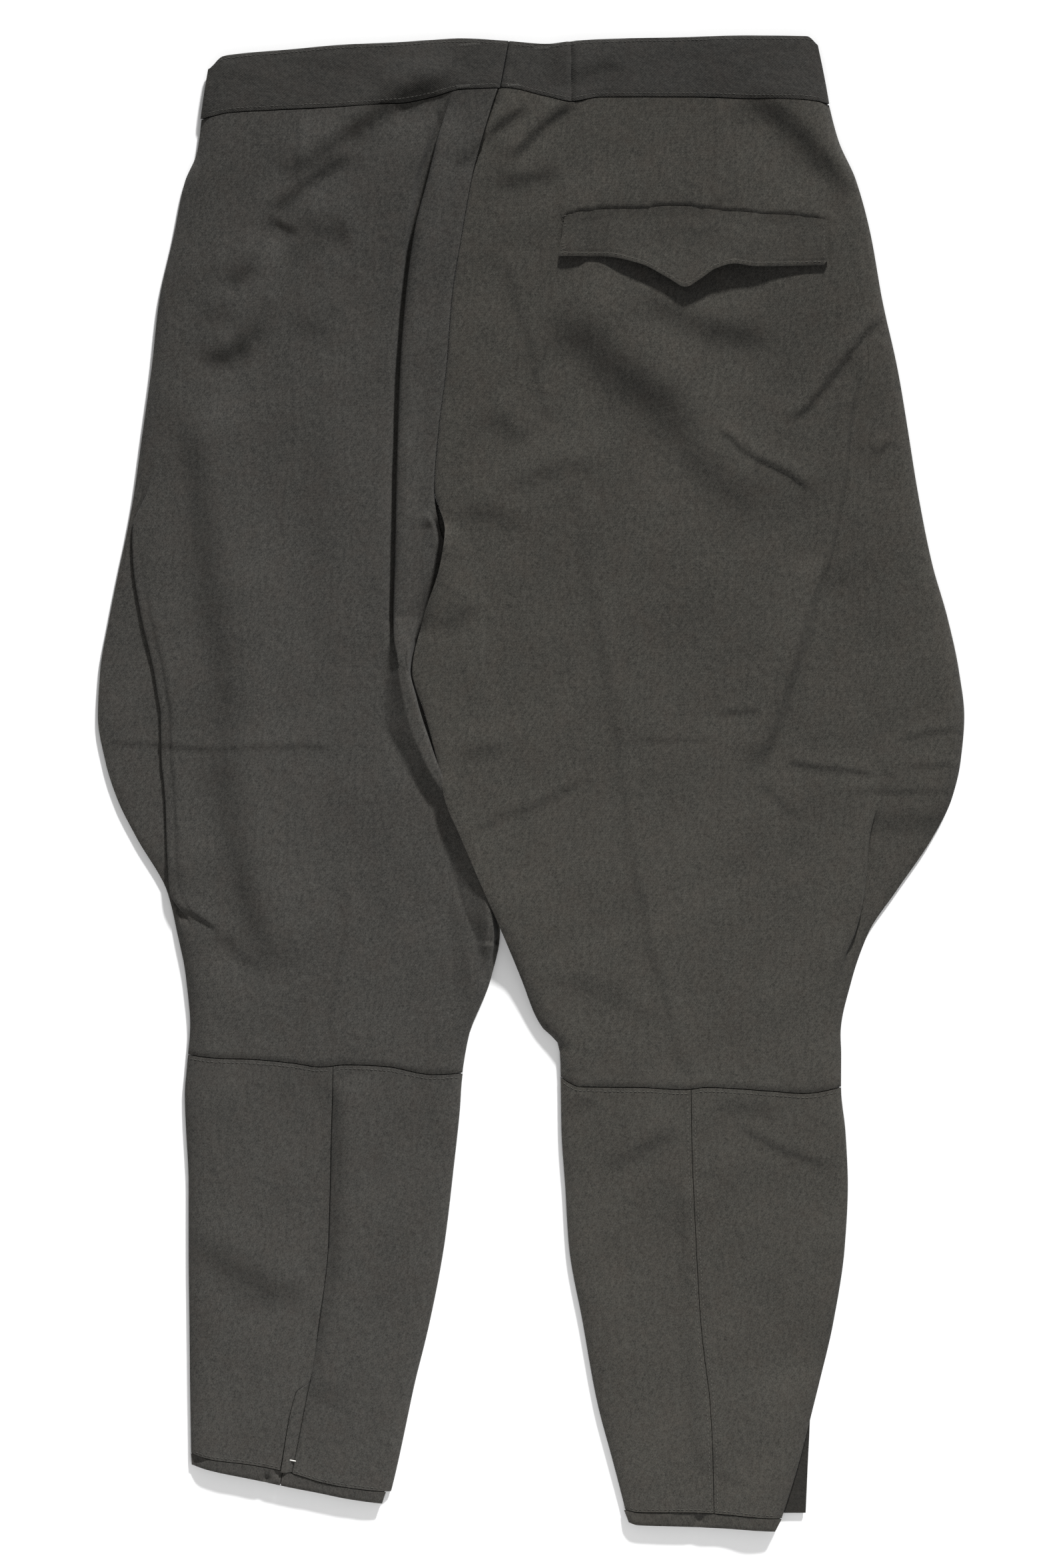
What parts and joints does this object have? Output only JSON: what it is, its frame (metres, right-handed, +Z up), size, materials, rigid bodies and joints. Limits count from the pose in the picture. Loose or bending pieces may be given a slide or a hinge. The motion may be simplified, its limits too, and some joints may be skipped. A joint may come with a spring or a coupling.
{
  "type": "breeches",
  "caption": "Flared riding-style breeches in dark twill, laid flat with the back up: full thighs, narrow calves, waistband and one pointed hip pocket flap.",
  "frame": {"origin": "middle of the bounding box, on the surface that the breeches lie on", "axes": "+Y from the hems to the waist, +Z up out of the surface, +X to the right of the picture"},
  "size_m": [0.5726, 0.9881, 0.0161],
  "materials": {
    "twill": "matt, fine diagonal weave",
    "inner_cloth": "matt, the darker inside of the cloth"
  },
  "bodies": {
    "root": {"waistband_back_left": "twill", "waistband_back_right": "twill", "waistband_front_left": "twill", "waistband_front_right": "twill", "thigh_back_left": "twill", "thigh_back_right": "twill", "thigh_front_left": "twill", "thigh_front_right": "twill", "fly": "twill", "pocket_flap": "twill", "calf_back_left_outer": "twill", "calf_back_left_inner": "twill", "calf_back_right_inner": "twill", "calf_back_right_outer": "twill", "calf_front_left": "twill", "calf_front_right": "twill", "hem_back_left_outer": "twill", "hem_back_left_inner": "twill", "hem_back_right": "twill", "hem_front_left": "twill", "hem_front_right": "twill", "vent_underlap_left": "inner_cloth", "vent_placket_right": "inner_cloth"}
  },
  "joints": []
}
